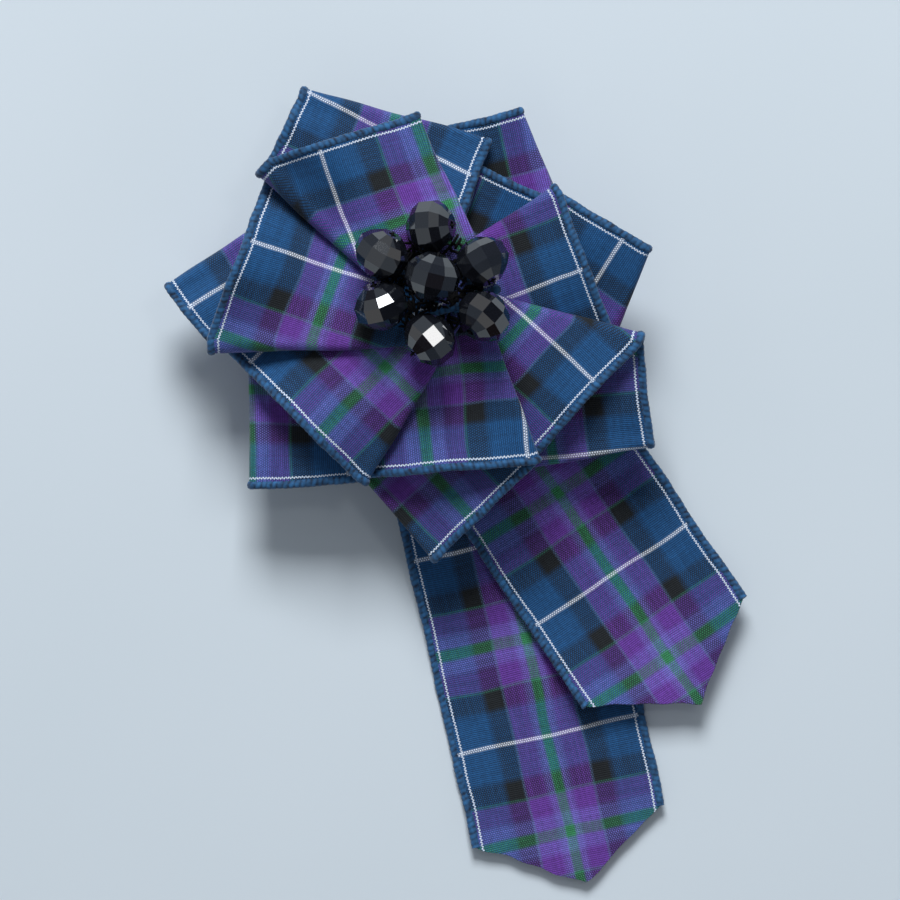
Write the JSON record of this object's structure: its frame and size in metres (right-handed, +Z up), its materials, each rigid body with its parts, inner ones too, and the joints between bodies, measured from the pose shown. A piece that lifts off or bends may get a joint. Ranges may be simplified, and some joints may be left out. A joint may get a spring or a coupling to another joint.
{
  "type": "tartan ribbon brooch",
  "caption": "Rosette brooch of folded tartan ribbon with pointed ribbon tails beneath, a cluster of faceted black glass beads on the middle and a bar pin behind.",
  "frame": {"origin": "On the surface that the brooch lies on, under the middle of its box", "axes": "+Z up from the back of the brooch to its beads, +Y from the tails' points to the top of the rosette, +X to the right as seen from the front"},
  "size_m": [0.0731, 0.1004, 0.0269],
  "materials": {
    "tartan_ribbon": "plain woven polyester tartan in blue, black, purple, green and white, with corded navy selvedges",
    "black_glass": "opaque jet black cut glass with polished facets",
    "nickel_steel": "nickel plated steel, lightly polished"
  },
  "bodies": {
    "root": {"rosette_ribbon": "tartan_ribbon", "tail_lower": "tartan_ribbon", "tail_upper": "tartan_ribbon", "bead_1": "black_glass", "bead_2": "black_glass", "bead_3": "black_glass", "bead_4": "black_glass", "bead_5": "black_glass", "bead_6": "black_glass", "bead_7": "black_glass", "brooch_pin": "nickel_steel"}
  },
  "joints": []
}
